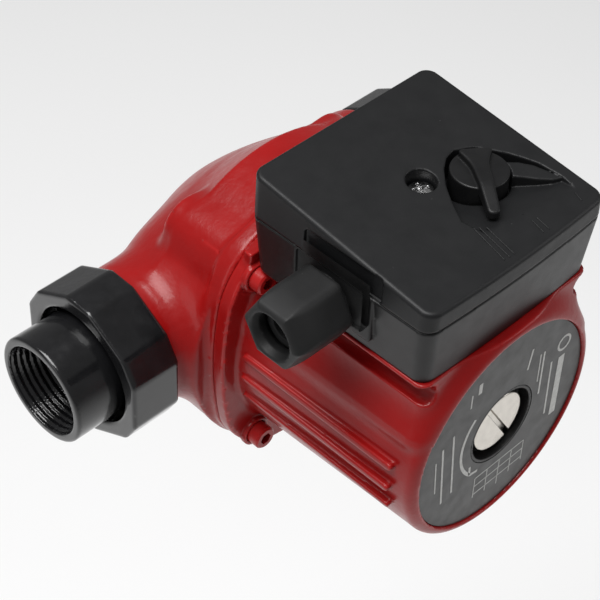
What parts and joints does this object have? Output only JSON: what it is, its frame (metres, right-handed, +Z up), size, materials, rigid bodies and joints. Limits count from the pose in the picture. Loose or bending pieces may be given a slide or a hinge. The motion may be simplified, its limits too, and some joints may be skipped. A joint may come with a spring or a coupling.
{
  "type": "circulator pump",
  "caption": "Wet-rotor circulator pump with inline pipe unions, round nameplate end, slotted vent screw, and a terminal box with speed selector and cable gland on top.",
  "frame": {"origin": "where the pipe axis meets the shaft axis, midway between the two ports", "axes": "+Z up through the terminal box; +X along the pipe from suction to discharge; -Y along the shaft to the nameplate end"},
  "size_m": [0.193, 0.1417, 0.1369],
  "materials": {
    "volute_red": "gloss paint over cast iron",
    "motor_red": "gloss paint over cast aluminium",
    "union_black": "glossy black coating over malleable iron",
    "box_plastic": "satin, fine grained",
    "lid_plastic": "satin, fine grained",
    "knob_plastic": "satin",
    "gland_plastic": "matt",
    "nameplate": "dark grey printed foil, satin",
    "vent_nickel": "nickel plate over brass",
    "screw_steel": "zinc plated",
    "lid_screw_zinc": "bright zinc plate",
    "rubber": "matt",
    "stack_steel": "laminated edges",
    "winding_copper": "lacquered wire",
    "can_steel": "drawn stainless",
    "ceramic": "ground",
    "rotor_steel": "ground",
    "impeller_plastic": "moulded",
    "brass": "turned",
    "terminal_plastic": "moulded",
    "capacitor_plastic": "sleeved"
  },
  "bodies": {
    "pump": {"pump_housing": "volute_red", "motor_housing": "motor_red", "flange_screws": "motor_red", "housing_seal": "rubber", "nameplate": "nameplate", "stator_core": "stack_steel", "stator_windings": "winding_copper", "rotor_can": "can_steel", "bearing_plate": "can_steel", "rear_bearing": "ceramic", "front_bearing_holder": "rubber", "front_bearing": "ceramic", "union_tail_inlet": "union_black", "union_tail_outlet": "union_black", "union_washer_inlet": "rubber", "union_washer_outlet": "rubber", "terminal_box": "box_plastic", "terminal_box_lid": "lid_plastic", "lid_seal": "rubber", "lid_screw": "lid_screw_zinc", "box_screws": "screw_steel", "earth_screw": "brass", "earth_tab": "brass", "terminal_block": "terminal_plastic", "terminal_screws": "brass", "capacitor": "capacitor_plastic", "speed_switch": "terminal_plastic", "gland_body": "gland_plastic", "gland_seal": "rubber"},
    "rotor": {"shaft": "ceramic", "rotor_core": "rotor_steel", "thrust_collar": "ceramic", "impeller": "impeller_plastic"},
    "speed_selector": {"speed_knob": "knob_plastic"},
    "vent_washer": {"vent_seal": "rubber"},
    "vent_plug": {"vent_screw": "vent_nickel"},
    "inlet_nut": {"union_nut_inlet": "union_black"},
    "outlet_nut": {"union_nut_outlet": "union_black"},
    "cable_nut": {"gland_nut": "gland_plastic"}
  },
  "joints": [
    {"name": "rotor_spin", "type": "hinge", "parent": "pump", "child": "rotor", "pos_m": [0, -0.05, 0], "axis": [0, -1, 0], "continuous": true},
    {"name": "speed_select", "type": "hinge", "parent": "pump", "child": "speed_selector", "pos_m": [0.0159, -0.0772, 0.07], "axis": [0, 0, 1], "range_deg": [-12, 66]},
    {"name": "vent_travel", "type": "slide", "parent": "pump", "child": "vent_washer", "axis": [0, -1, 0], "range_m": [0, 0.0045]},
    {"name": "vent_turn", "type": "hinge", "parent": "vent_washer", "child": "vent_plug", "pos_m": [0, -0.105, 0], "axis": [0, -1, 0], "range_deg": [0, 1080]},
    {"name": "inlet_nut_turn", "type": "hinge", "parent": "pump", "child": "inlet_nut", "pos_m": [-0.065, 0, 0], "axis": [-1, 0, 0], "continuous": true},
    {"name": "outlet_nut_turn", "type": "hinge", "parent": "pump", "child": "outlet_nut", "pos_m": [0.065, 0, 0], "axis": [1, 0, 0], "continuous": true},
    {"name": "cable_nut_turn", "type": "hinge", "parent": "pump", "child": "cable_nut", "pos_m": [-0.054, -0.072, 0.0565], "axis": [-1, 0, 0], "continuous": true}
  ],
  "couplings": [
    {"joint": "vent_travel", "follows": "vent_turn", "m_per_rad": 0.00023871}
  ]
}
